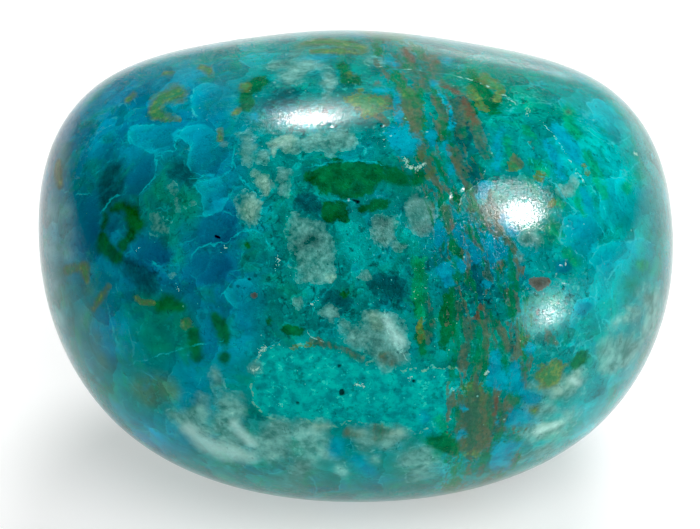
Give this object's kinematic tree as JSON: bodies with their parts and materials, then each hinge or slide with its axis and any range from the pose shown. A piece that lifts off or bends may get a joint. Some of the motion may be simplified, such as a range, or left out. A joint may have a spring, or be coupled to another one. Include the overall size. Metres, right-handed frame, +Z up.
{
  "type": "chrysocolla specimen",
  "caption": "Tumbled and polished chrysocolla pebble, barrel-shaped, blue and teal with quartz, malachite and brown iron streaks, resting on its worn belly.",
  "frame": {"origin": "on the surface that the pebble rests on, under the middle of its length and depth", "axes": "+X along the pebble's long way, +Z up, -Y out of the broad face that carries the brown and green streaks"},
  "size_m": [0.0358, 0.0274, 0.0245],
  "materials": {
    "polished_chrysocolla": "tumbled to a glossy polish; blue to teal chrysocolla with grey quartz, green malachite, brown iron streaks and pale veins"
  },
  "bodies": {
    "root": {"chrysocolla_pebble": "polished_chrysocolla"}
  },
  "joints": []
}
